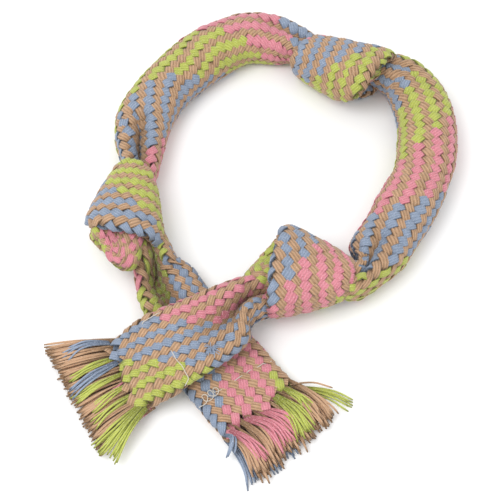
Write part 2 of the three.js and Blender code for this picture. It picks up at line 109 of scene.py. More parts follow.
# Routes on the floor, as in the solids: places, and in the tails the spread from the root to full width
ROUTE_SHIFT = np.array([-4.55, -14.32])
LEFT_SPAN_ROUTE = (
    (-50.5, 58.5), (-48.5, 73), (-40.5, 89), (-29, 103), (-16, 114.5), (-1.5, 121.5), (12, 120.5),
)
RIGHT_SPAN_ROUTE = (
    (77, 89), (81.5, 73.5), (81.5, 57), (78, 40), (70.5, 24), (62, 8.5), (54, -4),
)
OVER_TAIL_ROUTE = (
    (-9, -37, 0.45), (-18.5, -43, 0.8), (-28, -48, 1), (-37.5, -53, 1), (-46, -57.5, 1), (-53, -61.5, 1.1),
)
UNDER_TAIL_ROUTE = (
    (-37, -13, 0.15), (-32, -23, 0.45), (-25.5, -34, 0.75), (-18, -45, 1), (-10, -56.5, 1), (-2, -67, 1),
    (5.5, -76, 1.1),
)
# The over tail's height at each point: 1 where it lies on the under tail, 0 on the floor
OVER_TAIL_LIFT = (1, 1, 0.97, 0.72, 0.35, 0.1)
CROSSING_SPREAD = 0.7
# Each knot's middle and heading, the wrap's width and height at its rear and front and its lean, the band's
# width, place and end, where the elbow turns, the middle of each neck (forward, left, up), the exit's
# thickness and width, and the depth of the creases at entry and exit
LEFT_KNOT = dict(
    middle=(-53, 20.5), heading=-95, width=(20, 43), height=(20, 29), lean=7, band=43, ahead=0,
    band_end=405, elbow=24.5, entry=(-21.3, 1.5, 10), exit=(24.5, 14, 9.5), exit_neck=TAIL_NECK_DIAMETER,
    exit_width=20, creases=(1.2, 1.2),
)
TOP_KNOT = dict(
    middle=(40.3, 102), heading=-31, width=(24, 41), height=(20, 28), lean=5.5, band=43.5, ahead=3,
    band_end=440, elbow=12.5, entry=(-21.5, 3, 10), exit=(27.2, 10.7, 10), exit_neck=SPAN_NECK_DIAMETER,
    exit_width=21, creases=(0.4, 0.2),
)
RIGHT_KNOT = dict(
    middle=(26.5, -15.8), heading=175, width=(20, 53), height=(20, 29), lean=4, band=35, ahead=0,
    band_end=405, elbow=18.5, entry=(-20.5, -1.8, 10), exit=(24.5, 14, 13), exit_neck=TAIL_NECK_DIAMETER,
    exit_width=23, creases=(0.7, 1.2),
)

# Bends, whose places go to bend(), which only bakes the pieces' transforms: the place in each tail, in
# stations from its neck, what gives its heading there and half the bend's length, and the start and end of
# the bend at each neck (forward, left, up)
OVER_CUT, UNDER_CUT = 4.35, 5.6
CUT_HEADING = 0.3
CUT_HALF_LENGTH = 5
TOP_ENTRY_BEND = ((-28, 3, 10), (-17, 3, 10))
TOP_EXIT_BEND = ((23.2, 10.7, 10), (33.2, 10.7, 10))
RIGHT_ENTRY_BEND = ((-27, -1, 10), (-16, -1, 10))
RIGHT_EXIT_BEND = ((22, 12.3, 13), (29.7, 17.2, 13))

# Threads sewn across the tails, as points by stations from the neck, share of the way round the rope and
# height over the strands; the end of the one in the under tail is a loose tangle
THREAD_DIAMETER = 0.35
OVER_THREAD = (
    (3.2, 0.962, -0.6), (3.3, 0.957, 0.2), (3.62, 0.953, 0.3), (3.98, 0.948, 0.2), (3.98, 0.92, -1.2),
    (3.75, 0.85, -1.4), (3.56, 0.75, -1.4), (3.55, 0.72, -0.9), (3.55, 0.69, -0.4), (3.58, 0.64, 0),
    (3.5, 0.59, 0.2), (3.46, 0.55, 0.3), (3.48, 0.521, 0.3), (3.69, 0.51, 0.2),
)
UNDER_THREAD = (
    (5.55, 0.014, 0.6), (5.61, 0.042, 0.8), (5.5, 0.066, 0.8), (5.37, 0.062, 0.7), (5.38, 0.045, 0.5),
    (5.52, 0.046, 0.3), (5.61, 0.072, 0.2), (5.52, 0.098, 0.3), (5.38, 0.099, 0.5), (5.37, 0.082, 0.7),
    (5.5, 0.078, 0.8), (5.61, 0.102, 0.8), (5.55, 0.13, 0.6), (5.4, 0.135, 0.4), (5.36, 0.118, 0.2),
    (5.48, 0.111, 0.2), (5.54, 0.175, -0.6), (5.54, 0.2, -1.2), (5.54, 0.225, -0.8), (5.54, 0.25, 0.1),
    (5.54, 0.285, 0.1), (5.54, 0.31, -0.8), (5.55, 0.34, 0.1), (5.57, 0.37, -0.8), (5.6, 0.4, 0.1),
    (5.62, 0.43, 0.1), (5.64, 0.45, -0.8), (5.66, 0.474, 0.1),
)
THREAD_POINTS, THREAD_SIDES = 14, 8

# The braid: strands each way round, ribs of raised stitches round the rope, the length in which a strand goes
# once round, and its rise and fall
STRANDS = 24
RIBS, RIB_PHASE = 12, math.pi / 4
LEAD = 107
FLOAT = 0.95
FLOAT_SHARPNESS = 1.6
FLOAT_SWELL = 0.14
# How much longer the tan stitches are than the cotton ones, in the tails and elsewhere
TAIL_TAN_SHARE, TAN_SHARE = 0.1, 0
TAN_HALF_WIDTH, TAN_HALF_THICKNESS = 1.55, 0.95
COTTON_HALF_WIDTH, COTTON_HALF_THICKNESS = 1.7, 1.0
# Strands widen and narrow with the girth, within limits
USUAL_GIRTH = 66
LEAST_WIDENING, MOST_WIDENING = 0.8, 1.3
# A strand's section: its yarns and the depth of the grooves between them, the reach and squareness of its
# outer side, and the points of its inner side
TAN_YARNS, TAN_GROOVE = 3, 0.2
COTTON_YARNS, COTTON_GROOVE = 4, 0.12
SECTION_REACH, SECTION_SQUARENESS = 0.97, 4
SECTION_INNER = ((-0.55, -0.75), (0.55, -0.75))
# The girth of the braid's middle surface before it is squeezed; what is too much hides on the lower side
FULL_GIRTH = 80
MOST_HIDDEN = 0.5
# Unevenness: lumps in the whole rope, and the strands' own, round the rope as a share of the girth, out of
# the rope, and in width
LUMP_SIZE, LUMP_SPACING = 0.03, 12
DRIFT_SPACING = 6
LAY_DRIFT, HEIGHT_DRIFT, WIDTH_DRIFT = 0.005, 0.18, 0.1
# Painted shade, from 0 for dark to 1 for light: between the yarns of a tan and a cotton strand, where
# a strand dips, deep in a crease, inside the tube and at a fringe's root; a fringe's cut tips are darker too
TAN_GROOVE_SHADE, COTTON_GROOVE_SHADE = 0.5, 0.65
DIP_SHADE, CREASE_SHADE, CORE_SHADE, ROOT_SHADE, TIP_SHADE = 0, 0.1, 0.5, 0.1, 0.3
SURFACE_DEPTH = FLOAT + TAN_HALF_THICKNESS
CORE_DEPTH = 1.1
LEAST_HALF = 1
# Fineness: the length of a row of the braid, the points round it, the steps from station to station that
# measure the rope, and the rows of a cord's path and the core, and the points round the core
STEP = 0.8
GIRTH_POINTS = 192
FINE_STEPS = 60
PATH_ROWS, CORE_ROWS, CORE_POINTS = 2, 4, 36

# Frayed ends: reach past the braid, spread of the tips to each side, unevenness, bow to the tail's left, and
# tufts of cotton, as colour, place across at root and tip (0 at the tail's right edge, 1 at its left), share
# of the reach, number of yarns, 1 on the jute or 0 under it, and for some a bow of their own
OVER_FRINGE = dict(reach=21.5, left=23.5, right=31, ragged=0.03, bow=-1.2, tufts=(
    ("blue", 0.03, 0.17, 0.74, 8, 1, -2), ("green", 0.24, 0.36, 0.86, 6, 1), ("blue", 0.3, 0.48, 0.98, 8, 1),
    ("green", 0.46, 0.54, 0.97, 6, 1), ("green", 0.62, 0.68, 0.8, 6, 1), ("green", 0.76, 0.8, 0.86, 7, 1),
    ("green", 0.9, 0.98, 1, 10, 1), ("green", 0.97, 1.1, 0.88, 7, 1), ("pink", 0.55, 0.66, 0.6, 2, 1),
))
UNDER_FRINGE = dict(reach=18.5, left=23, right=19, ragged=0.08, bow=2.2, tufts=(
    ("blue", 0, -0.08, 0.3, 5, 1), ("pink", 0.08, 0.15, 0.8, 8, 1), ("pink", 0.31, 0.41, 0.87, 14, 1),
    ("pink", 0.47, 0.57, 0.78, 12, 1), ("green", 0.72, 0.65, 0.95, 13, 1), ("green", 0.86, 0.82, 0.55, 8, 1),
    ("green", 0.97, 1.2, 1, 8, 0), ("blue", 0.02, -0.06, 1, 9, 0), ("blue", 0.2, 0.22, 1.1, 7, 0),
    ("blue", 0.4, 0.42, 1.1, 6, 0), ("tan", 0.95, 1.14, 0.5, 1, 1),
))
# How far back in the braid the yarns start, and the rows of the weave that can be lost there
FRAY_BACK = 9
FRAY_ROWS = 8
FRINGE_INSET = 1
# Every loose yarn: its shade from root to tip, with painted shade at its root where it leaves the braid and
# darker at its cut tip, its cut tip's size, and its waves sideways and up
YARN_SHADES = ((0, ROOT_SHADE), (0.6, 1), (0.9, 1), (1, TIP_SHADE))
YARN_TIP = 0.7
YARN_WAVES = (8, 7)
YARN_POINTS, YARN_SIDES = 12, 6
# Jute: the clumps at its roots and how tight they are, the heights of the lowest and highest layer at root
# and tip, the sheet's thin edges, and what differs from yarn to yarn
JUTE_YARNS, JUTE_LAYERS, JUTE_RADIUS, JUTE_WAVE = 46, 4, 0.5, 0.3
CLUMPS, CLUMPING = 11, 0.6
JUTE_ROOT_HEIGHTS, JUTE_TIP_HEIGHTS = (-2.6, 2.8), (0.6, 4.6)
EDGE_THINNING, EDGE_POWER = 0.5, 4
TOP_LAYER_SHORTER = 0.6
JUTE_PLACES, JUTE_HEIGHTS, JUTE_BACKS = (-0.5, 0.5), (-0.3, 0.3), (0.3, 1)
JUTE_SIZES, JUTE_RISES = (0.85, 1.1), (-0.3, 0.8)
JUTE_TIP_SPREAD = 0.7
# Tufts: how far back they start, their heights under and on the jute at root and tip, the height of their
# second layer, the spacing of yarns at root and tip, and what differs from yarn to yarn
COTTON_RADIUS, COTTON_WAVE = 0.42, 0.35
TUFT_BACK = 0.3
TUFT_ROOT_HEIGHTS = (-2.2, 2.2)
TUFT_TIP_UNDER, TUFT_TIPS_ON = 1, (4.8, 5.6)
TUFT_LAYER = 0.8
TUFT_ROOT_SPACING, TUFT_TIP_SPACING = 0.22, 0.7
TUFT_RISES = (0.8, 1.6)
TUFT_BOW_SPREAD, TUFT_REACH_SPREAD, TUFT_TIP_SPREAD = 0.8, 0.9, 0.4
# How much further the over tail is woven than its solid, from -1 at its right edge to 1 at its left
WOVEN_ON = ((-1, 4), (-0.6, 0), (0, 1.5), (0.5, 4.5), (1, 8))
# The rows that tell which way a tail heads at its end
END_SPAN = 12

# A worn blue stitch in the over tail, by stations from the neck and share of the way round the rope, and the
# fibres that stand off it, with the least and most of their reach, lift and curl
WORN_STITCH = (2.23, 0.59)
FRIZZ_FIBRES, FRIZZ_RADIUS, FRIZZ_SHADE = 18, 0.15, 1.4
FRIZZ_LEAST, FRIZZ_MOST = (1.5, 0.4, -2), (4, 1.2, 2)
FRIZZ_SUNK = 0.2
FRIZZ_POINTS, FRIZZ_SIDES = 8, 5


def unit(vectors):
    return vectors / np.maximum(np.linalg.norm(vectors, axis=-1, keepdims=True), TINY)


def level(vectors):
    """The directions of vectors in plan."""
    return unit(vectors * (1, 1, 0))


def mix(a, b, share):
    return a + (b - a) * share


def keyed(keys, at):
    return np.interp(at, [key[0] for key in keys], [key[1] for key in keys])


def lengths_along(line):
    """How far along a line each of its points is."""
    return np.concatenate([[0], np.cumsum(np.linalg.norm(np.diff(line, axis=0), axis=1))])


def carried_on(points):
    """Points with one more before and after them, straight on."""
    return np.concatenate([2 * points[:1] - points[1:2], points, 2 * points[-1:] - points[-2:-1]])


def curve(before, a, b, after, t):
    """Points at shares t from a to b, on a smooth curve that comes from before and goes on to after."""
    from_a, to_b = (b - before) / 2, (after - a) / 2
    return (
        (2 * t**3 - 3 * t**2 + 1) * a + (t**3 - 2 * t**2 + t) * from_a
        + (3 * t**2 - 2 * t**3) * b + (t**3 - t**2) * to_b
    )


# Stations of the rope: rows of centre, half width, half thickness, crease depth and crease place, and later
# which side is seen
CENTRE, WIDE, THICK, SECTION = slice(0, 3), slice(3, 6), slice(6, 9), slice(3, 9)
THICK_UP, FOLD, FOLD_PLACE, SEEN = slice(8, 9), slice(9, 10), slice(10, 11), slice(11, 12)


def station(centre, wide, thick, fold=0):
    return np.concatenate([centre, wide, thick, [fold, 0]])


def rest_height(thickness):
    return thickness * (0.5 - FLOOR_FLAT)


def on_plan(place, z):
    return np.array([place[0] + ROUTE_SHIFT[0], place[1] + ROUTE_SHIFT[1], z])


def level_stations(points, widths, thicknesses, folds, fold_place):
    points = np.array(points)
    padded = np.concatenate([points[:1], points, points[-1:]])
    ahead = level(padded[2:] - padded[:-2])
    wide = np.cross(UP, ahead) * np.array(widths)[:, None] / 2
    thick = np.outer(thicknesses, UP / 2)
    return np.column_stack([points, wide, thick, folds, np.full(len(points), fold_place)])


def span_stations(route, creases):
    points = [on_plan(place, rest_height(SPAN_THICKNESS)) for place in route]
    middle = len(route) - 2
    end_width = mix(SPAN_NECK_DIAMETER, SPAN_WIDTH, SPAN_END_SWELL)
    widths = [end_width] + [SPAN_WIDTH] * middle + [end_width]
    folds = [creases[0]] + [0] * middle + [creases[1]]
    return level_stations(points, widths, [SPAN_THICKNESS] * len(route), folds, 0)


def tail_thickness(spread):
    return mix(TAIL_ROOT_THICKNESS, TAIL_THICKNESS, spread)


def tail_stations(route, lifts, crease, fold_place):
    under_top = tail_thickness(CROSSING_SPREAD) * (1 - FLOOR_FLAT)
    points, widths, thicknesses, folds = [], [], [], []
    for (x, y, spread), lift in zip(route, lifts):
        thickness = tail_thickness(spread)
        on_tail = under_top + TOUCH_CLEARANCE + thickness / 2
        points.append(on_plan((x, y), mix(rest_height(thickness), on_tail, lift)))
        widths.append(mix(TAIL_ROOT_WIDTH, TAIL_WIDTH, spread))
        thicknesses.append(thickness)
        folds.append(crease * max(1 - spread, 0))
    return level_stations(points, widths, thicknesses, folds, fold_place)


def wrap_surface(knot, forward, angle, inset):
    """A point of a knot's wrap, which grows to the band's front edge and shrinks again past it."""
    beyond = (forward - knot["ahead"]) / knot["band"] - 0.5
    share = 1 + min(beyond, -FRONT_CLOSE * beyond)
    half_width = (mix(*knot["width"], share) - BAND_THICKNESS) / 2 - inset
    half_height = (mix(*knot["height"], share) - BAND_THICKNESS) / 2
    sine, cosine = (np.sign(v) * abs(v) ** WRAP_SQUARENESS for v in (math.sin(angle), math.cos(angle)))
    top_inset = inset * max(math.cos(angle), 0)
    height = half_height + BAND_THICKNESS / 2 + (half_height - top_inset) * cosine
    return np.array([forward, -half_width * sine, height])


def wrap_station(knot, degrees):
    forward = keyed([
        *((at, knot["elbow"] - back) for at, back in ELBOW_BACK),
        (UNDER_ANGLE, UNDER_FORWARD), (SIDE_ANGLES[0], knot["ahead"] + knot["lean"] / 2),
        (SIDE_ANGLES[1], knot["ahead"] - knot["lean"] / 2), (WRAP_END, TUCK_FORWARD),
    ], degrees)
    half_width = keyed([
        (WRAP_START, ELBOW_WIDTH), (UNDER_ANGLE, SIDE_WIDTH), (BAND_START, knot["band"]),
        (knot["band_end"], knot["band"]), (WRAP_END, TUCK_WIDTH),
    ], degrees) / 2
    inset = BAND_THICKNESS * keyed(WRAP_DEPTHS, degrees)
    angle = math.radians(degrees)
    front = wrap_surface(knot, forward + half_width, angle, inset)
    rear = wrap_surface(knot, forward - half_width, angle, inset)
    next_place = wrap_surface(knot, forward, angle + SMALL_TURN, inset)
    ahead = next_place - wrap_surface(knot, forward, angle - SMALL_TURN, inset)
    wide = (front - rear) / 2
    return station((front + rear) / 2, wide, unit(np.cross(ahead, wide)) * BAND_THICKNESS / 2)


def knot_stations(knot):
    """A knot's rope from neck to neck: in under the wrap, round the elbow, once round the knot, and out."""
    def flat(place, wide_x, wide_y, half_width, thick_z, fold=0):
        wide = unit(np.array([wide_x, wide_y, 0.0])) * half_width
        return station(np.array(place, float), wide, np.array([0, 0, thick_z]), fold)

    half_inner, half_tuck = INNER_THICKNESS / 2, TUCK_WIDTH / 2
    under_band = knot["height"][1] - BAND_THICKNESS - half_inner
    entry_z, entry_half, exit_half = knot["entry"][2], SPAN_NECK_DIAMETER / 2, knot["exit_neck"] / 2
    rows = [flat(knot["entry"], 0, 1, entry_half, entry_half, knot["creases"][0])]
    for x, y, climb in INNER_ROUTE:
        rows.append(flat((x, y, mix(entry_z, under_band, climb)), 0, 1, half_tuck, half_inner))
    for x, y, drop, wide_x, wide_y in TURN_ROUTE:
        place = (knot["elbow"] + x, y, under_band - drop)
        rows.append(flat(place, wide_x, wide_y, half_tuck, half_inner))
    rows += [wrap_station(knot, degrees) for degrees in WRAP_ANGLES]
    for x, y, rise, wide_x, wide_y in TUCK_ROUTE:
        rows.append(flat((x, y, BAND_THICKNESS + rise), wide_x, wide_y, half_tuck, -half_inner))
    rows.append(flat(knot["exit"], 0, -1, knot["exit_width"] / 2, -exit_half, knot["creases"][1]))
    rows = np.array(rows)
    for part in (CENTRE, WIDE, THICK):
        rows[:, part] = rows[:, part] @ turn_of(knot).T
    rows[:, CENTRE] += on_plan(knot["middle"], 0)
    return rows


def turn_of(knot):
    angle = math.radians(knot["heading"])
    return np.array([
        [math.cos(angle), -math.sin(angle), 0], [math.sin(angle), math.cos(angle), 0], [0, 0, 1],
    ])


def in_knot(knot, places):
    """Places in a knot's own directions (forward, left, up), as places of the rope."""
    return [turn_of(knot) @ np.array(place, float) + on_plan(knot["middle"], 0) for place in places]


def reversed_rows(rows):
    rows = rows[::-1].copy()
    rows[:, WIDE] *= -1
    rows[:, FOLD_PLACE] *= -1
    return rows


def joined(blocks):
    """Blocks of stations as one rope, each turned half round where that avoids a twist."""
    rope = blocks[0]
    for block in blocks[1:]:
        if rope[-1, THICK] @ block[0, THICK] < 0:
            block = block.copy()
            block[:, SECTION] *= -1
            block[:, FOLD_PLACE] *= -1
        rope = np.concatenate([rope, block])
    return rope


ROPE = joined([
    reversed_rows(tail_stations(
        UNDER_TAIL_ROUTE, [0] * len(UNDER_TAIL_ROUTE), UNDER_CREASE, UNDER_CREASE_PLACE,
    )),
    reversed_rows(knot_stations(LEFT_KNOT)),
    span_stations(LEFT_SPAN_ROUTE, LEFT_SPAN_CREASES),
    knot_stations(TOP_KNOT),
    span_stations(RIGHT_SPAN_ROUTE, RIGHT_SPAN_CREASES),
    knot_stations(RIGHT_KNOT),
    tail_stations(OVER_TAIL_ROUTE, OVER_TAIL_LIFT, OVER_CREASE, OVER_CREASE_PLACE),
])
# One more station past the over tail's end, because its edges fray later than its middle
OVER_END = len(ROPE) - 1
ROPE = carried_on(ROPE)[1:]
LAST = len(ROPE) - 1

# Places along the rope, counted in stations: where the necks are, and where the pieces part inside or under
# a knot, in a span or in a tail
LEFT_EXIT = len(UNDER_TAIL_ROUTE)
LEFT_ENTRY = LEFT_EXIT + KNOT_POINTS - 1
TOP_ENTRY = LEFT_ENTRY + len(LEFT_SPAN_ROUTE) + 1
TOP_EXIT = TOP_ENTRY + KNOT_POINTS - 1
RIGHT_ENTRY = TOP_EXIT + len(RIGHT_SPAN_ROUTE) + 1
RIGHT_EXIT = RIGHT_ENTRY + KNOT_POINTS - 1
INSIDE, UNDERNEATH = 2.5, 6.8
UNDER_PART, SPAN_PART, OVER_PART = 3, TOP_EXIT + 2, RIGHT_EXIT + 3.2
STRETCHES = {
    "under_end": (0, UNDER_PART),
    "left": (UNDER_PART, LEFT_ENTRY - INSIDE),
    "left_span": (LEFT_ENTRY - INSIDE, TOP_ENTRY + INSIDE),
    "top": (TOP_ENTRY + INSIDE, SPAN_PART),
    "right_span": (SPAN_PART, RIGHT_ENTRY + UNDERNEATH),
    "right": (RIGHT_ENTRY + UNDERNEATH, OVER_PART),
    "over_end": (OVER_PART, OVER_END),
}

# How far the braid has turned about the rope's own axis, in turns, by places along the rope
TWIST = (
    (0, 0.016), (1.6, 0.002), (5, -0.03), (6, -0.03), (7, -0.03), (12.8, -0.383), (16.7, -0.460),
    (22.8, -0.79), (24, -0.95), (28, -1.149), (29, -1.171), (30.2, -1.251), (31, -1.311), (31.8, -1.301),
    (32.6, -1.355), (37, -1.289), (45, -1.206), (49, -1.339), (51.7, -1.430), (56.6, -1.641), (58, -1.692),
    (60.3, -1.711), (62, -1.759), (63, -1.750), (65, -1.809), (68.6, -2.103), (69.6, -2.123), (74.8, -2.485),
    (78.6, -2.566), (80, -2.650), (85, -2.791), (86.3, -2.95), (87.5, -3.01), (89, -3.01),
    (90.5, -2.97), (OVER_END, -2.955),
)


def rope_at(at):
    """Stations anywhere along the rope, by a smooth curve through the listed ones."""
    at = np.clip(np.asarray(at, float), 0, LAST)
    low = np.minimum(at.astype(int), LAST - 1)
    rope = carried_on(ROPE)
    before, a, b, after = (rope[low + k] for k in range(4))
    return curve(before, a, b, after, (at - low)[:, None])


# Rows of the braid, at even steps along the rope
FINE_AT = np.linspace(0, LAST, FINE_STEPS * LAST + 1)
FINE_LENGTH = lengths_along(rope_at(FINE_AT)[:, CENTRE])
ROW_LENGTH = np.arange(0, FINE_LENGTH[-1], STEP)
ROW_AT = np.interp(ROW_LENGTH, FINE_LENGTH, FINE_AT)
END_ROW = int(np.interp(OVER_END, FINE_AT, FINE_LENGTH) / STEP)


def row_of(at):
    return int(round(np.interp(at, FINE_AT, FINE_LENGTH) / STEP))


def rows_of(name):
    """The first and the last row of a stretch."""
    return [row_of(at) for at in STRETCHES[name]]


def drift(amount, spacing):
    """A slow random change along the rope."""
    places = np.arange(0, ROW_LENGTH[END_ROW] + 2 * spacing, spacing)
    window = np.hanning(2 * int(spacing / STEP / 2) + 3)
    rough = np.interp(ROW_LENGTH, places, rng.normal(0, amount, len(places)))
    return np.convolve(rough, window / window.sum(), "same")


# Which way a station's thickness points where one side of the rope is seen: 1 out of that side, -1 into it,
# and 0 where the rope lies flat and hides nothing
TUCKED = 3
LEFT_SIDE, TOP_SIDE, RIGHT_SIDE = (
    np.sign(ROPE[at, THICK_UP][0]) for at in (LEFT_ENTRY, TOP_ENTRY, RIGHT_ENTRY)
)
VISIBLE_SIDE = (
    (LEFT_EXIT, 0), (LEFT_EXIT + TUCKED, LEFT_SIDE), (LEFT_ENTRY, LEFT_SIDE), (TOP_EXIT - TUCKED, TOP_SIDE),
    (TOP_EXIT, RIGHT_SIDE), (RIGHT_EXIT - TUCKED, RIGHT_SIDE), (RIGHT_EXIT, 0),
)
ROWS = np.column_stack([rope_at(ROW_AT), keyed(VISIBLE_SIDE, ROW_AT)])
ROWS[:, SECTION] *= 1 + drift(LUMP_SIZE, LUMP_SPACING)[:, None]
ROW_TWIST = keyed(TWIST, ROW_AT)
ROW_LAY = lengths_along(ROWS[:, CENTRE] + ROWS[:, SEEN] * ROWS[:, THICK]) / LEAD
ROW_TAN_SHARE = keyed((
    (LEFT_EXIT - 1, TAIL_TAN_SHARE), (LEFT_EXIT + 1, TAN_SHARE),
    (RIGHT_EXIT - 1, TAN_SHARE), (RIGHT_EXIT + 1, TAIL_TAN_SHARE),
), ROW_AT)


def ovals(rows, inset, angle):
    """Points round each station on a rounded flat oval with a crease in its upper side, each with how deep in
    the crease it is."""
    half_wide, half_thick = (
        np.maximum(np.linalg.norm(rows[:, part], axis=1, keepdims=True) - inset, LEAST_HALF)
        for part in (WIDE, THICK)
    )
    power = 2 / (2 + CORNER_SQUARENESS * np.maximum(1 - half_thick / half_wide, 0))
    across = np.sign(np.cos(angle)) * np.abs(np.cos(angle)) ** power
    through = np.sign(np.sin(angle)) * np.abs(np.sin(angle)) ** power
    upper = np.where(rows[:, THICK_UP] < 0, -1, 1)
    creased = np.where(np.sin(angle) * upper > 0, np.maximum(rows[:, FOLD], 0), 0)
    crease = creased * np.exp(-(((across - rows[:, FOLD_PLACE]) / CREASE_WIDTH) ** 2))
    through = through * (1 - crease)
    wide = unit(rows[:, None, WIDE]) * (across * half_wide)[..., None]
    thick = unit(rows[:, None, THICK]) * (through * half_thick)[..., None]
    points = rows[:, None, CENTRE] + wide + thick
    points[..., 2] = np.maximum(points[..., 2], inset)
    return np.concatenate([points, np.minimum(crease, 1)[..., None]], axis=2)


def outlines(rows, inset, count):
    """Points round each station, spaced for stitches of one size on the visible side, and how deep in the
    crease each is. The side that the half thickness points to is a quarter of the way round."""
    angle = np.linspace(0, 2 * np.pi, 4 * count + 1)
    points = ovals(rows, inset, angle)
    steps = np.linalg.norm(np.diff(points[..., :3], axis=1), axis=2)
    squeeze = steps.sum(axis=1, keepdims=True) / FULL_GIRTH - 1
    more_seen = rows[:, SEEN] * np.clip(np.pi / 2 * squeeze, -MOST_HIDDEN, MOST_HIDDEN)
    weights = steps * (1 + more_seen * np.sin((angle[1:] + angle[:-1]) / 2))
    shares = np.concatenate([np.zeros((len(rows), 1)), np.cumsum(weights, axis=1)], axis=1)
    shares /= shares[:, -1:]
    shares += 1 / 4 - shares[:, count:count + 1]
    spaced = np.empty((len(rows), count, 4))
    for i, share in enumerate(shares):
        wanted = (np.arange(count) / count - share[0]) % 1 + share[0]
        for axis in range(4):
            spaced[i, :, axis] = np.interp(wanted, share, points[i, :, axis])
    return spaced[..., :3], spaced[..., 3]


def round_girth(reach):
    """The way from so many points before each to so many after it, round the rope."""
    return np.roll(PLACES, -reach, axis=1) - np.roll(PLACES, reach, axis=1)


PLACES, CREASES = outlines(ROWS, SURFACE_DEPTH, GIRTH_POINTS)
SPACINGS = np.linalg.norm(round_girth(4), axis=2) / 8 * GIRTH_POINTS
AXES = unit(np.cross(ROWS[:, WIDE], ROWS[:, THICK]))
OUTWARD = unit(np.cross(round_girth(2), AXES[:, None]))


def on_braid(rows, fraction):
    """Places on the braid's middle surface, the ways out of it, the depth in a crease and the girth that the
    spacing there would make, by shares of the way round."""
    position = fraction % 1 * GIRTH_POINTS
    low = position.astype(int) % GIRTH_POINTS
    share = (position - np.floor(position))[:, None]
    high = (low + 1) % GIRTH_POINTS
    place = mix(PLACES[rows, low], PLACES[rows, high], share)
    out = unit(mix(OUTWARD[rows, low], OUTWARD[rows, high], share))
    return place, out, CREASES[rows, low], SPACINGS[rows, low]


def lobed_section(yarns, groove, groove_shade):
    """Points (across, out, shade) round a flat bundle of yarns, with a ridge for each on its outer side, and
    painted shade in its grooves, at its edges and on its inner side.
    """
    across = np.linspace(1, -1, 2 * yarns + 1)
    out = (1 - (SECTION_REACH * across) ** SECTION_SQUARENESS) ** (1 / SECTION_SQUARENESS)
    out[::2] -= groove
    # Painted shade: full light on the ridges, darker in the grooves, fully dark at the edges and on the inner
    # side
    shade = np.where(np.arange(len(across)) % 2, 1, groove_shade)
    shade[[0, -1]] = 0
    return np.concatenate([np.column_stack([across, out, shade]), [(*inner, 0) for inner in SECTION_INNER]])


TAN_SECTION = lobed_section(TAN_YARNS, TAN_GROOVE, TAN_GROOVE_SHADE)
COTTON_SECTION = lobed_section(COTTON_YARNS, COTTON_GROOVE, COTTON_GROOVE_SHADE)


class Strand:
    """The middle line of one strand over the whole rope, with the directions across and out of it."""

    def __init__(self, index, direction):
        rows = np.arange(len(ROWS))
        lay = index / STRANDS + direction * ROW_LAY
        wave = np.cos(2 * np.pi * RIBS * lay - RIB_PHASE) - ROW_TAN_SHARE
        rise = direction * np.tanh(FLOAT_SHARPNESS * wave) / math.tanh(FLOAT_SHARPNESS)
        place, out, crease, girth = on_braid(rows, lay + ROW_TWIST + drift(LAY_DRIFT, DRIFT_SPACING))
        self.line = place + out * (FLOAT * rise + drift(HEIGHT_DRIFT, DRIFT_SPACING))[:, None]
        swell = 1 + FLOAT_SWELL * rise + drift(WIDTH_DRIFT, DRIFT_SPACING)
        widening = np.clip(girth / USUAL_GIRTH, LEAST_WIDENING, MOST_WIDENING)
        self.width = (swell * widening)[:, None, None]
        # Painted shade: darker where the strand dips under the crossing strands and deep in a crease
        self.shade = mix(DIP_SHADE, 1, np.clip((rise + 1) / 2, 0, 1)) * mix(1, CREASE_SHADE, crease)
        ahead = unit(np.gradient(self.line, axis=0))
        self.across = unit(np.cross(out, ahead))
        self.out = np.cross(ahead, self.across)

    def rings(self, rows, section, half_width, half_thickness):
        wide = self.across[rows, None] * section[:, :1] * half_width * self.width[rows]
        places = self.line[rows, None] + wide + self.out[rows, None] * section[:, 1:2] * half_thickness
        return shaded(places, self.shade[rows, None] * section[:, 2])


def shaded(places, shade):
    """Rings of points with the painted shade of each point beside its place."""
    return np.concatenate([places, np.broadcast_to(shade, places.shape[:2])[..., None]], axis=2)


TAN_STRANDS = [Strand(i, -1) for i in range(STRANDS)]
COTTON_STRANDS = [Strand(i, 1) for i in range(STRANDS)]
COTTONS = ("pink", "green", "blue")


def cotton_of(index):
    return COTTONS[index * len(COTTONS) // STRANDS]


def lists_by_colour():
    return {colour: [] for colour in ("tan", *COTTONS)}


# Meshes: how far apart the maps of neighbouring tubes start, so that no streaks repeat, and the gaps beside
# each tube's strip on the map for baking and at its ends
MAP_STEP_ALONG, MAP_STEP_ROUND = 37.0, 3.1
GAP_BESIDE, GAP_AT_ENDS = 0.06, 0.005


def tubes_mesh(name, tubes):
    """One mesh of tubes, each an array of rings of points with their shades. Its first map holds millimetres
    along and round each tube, and its second lays the tubes side by side."""
    places, corners, along_maps, bake_maps, first = [], [], [], [], 0
    for j, rings in enumerate(tubes):
        rows, sides = rings.shape[:2]
        row, side = np.divmod(np.arange((rows - 1) * sides), sides)
        row = np.stack([row, row, row + 1, row + 1], axis=1)
        turn = np.stack([side, side + 1, side + 1, side], axis=1)
        corners.append(first + row * sides + turn % sides)
        first += rows * sides
        places.append(rings.reshape(-1, 4))
        along = lengths_along(rings[..., :3].mean(axis=1))[row] + MAP_STEP_ALONG * j
        girth = lengths_along(rings[0, :, :3])[-1]
        along_maps.append(np.stack([along, turn / sides * girth + MAP_STEP_ROUND * j], axis=-1))
        strip = (j + GAP_BESIDE + (1 - 2 * GAP_BESIDE) * turn / sides) / len(tubes)
        reach = GAP_AT_ENDS + (1 - 2 * GAP_AT_ENDS) * row / (rows - 1)
        bake_maps.append(np.stack([reach, strip], axis=-1))
    maps = {"yarn": np.concatenate(along_maps), "OFBake": np.concatenate(bake_maps)}
    return mesh_piece(name, np.concatenate(places), np.concatenate(corners), maps)


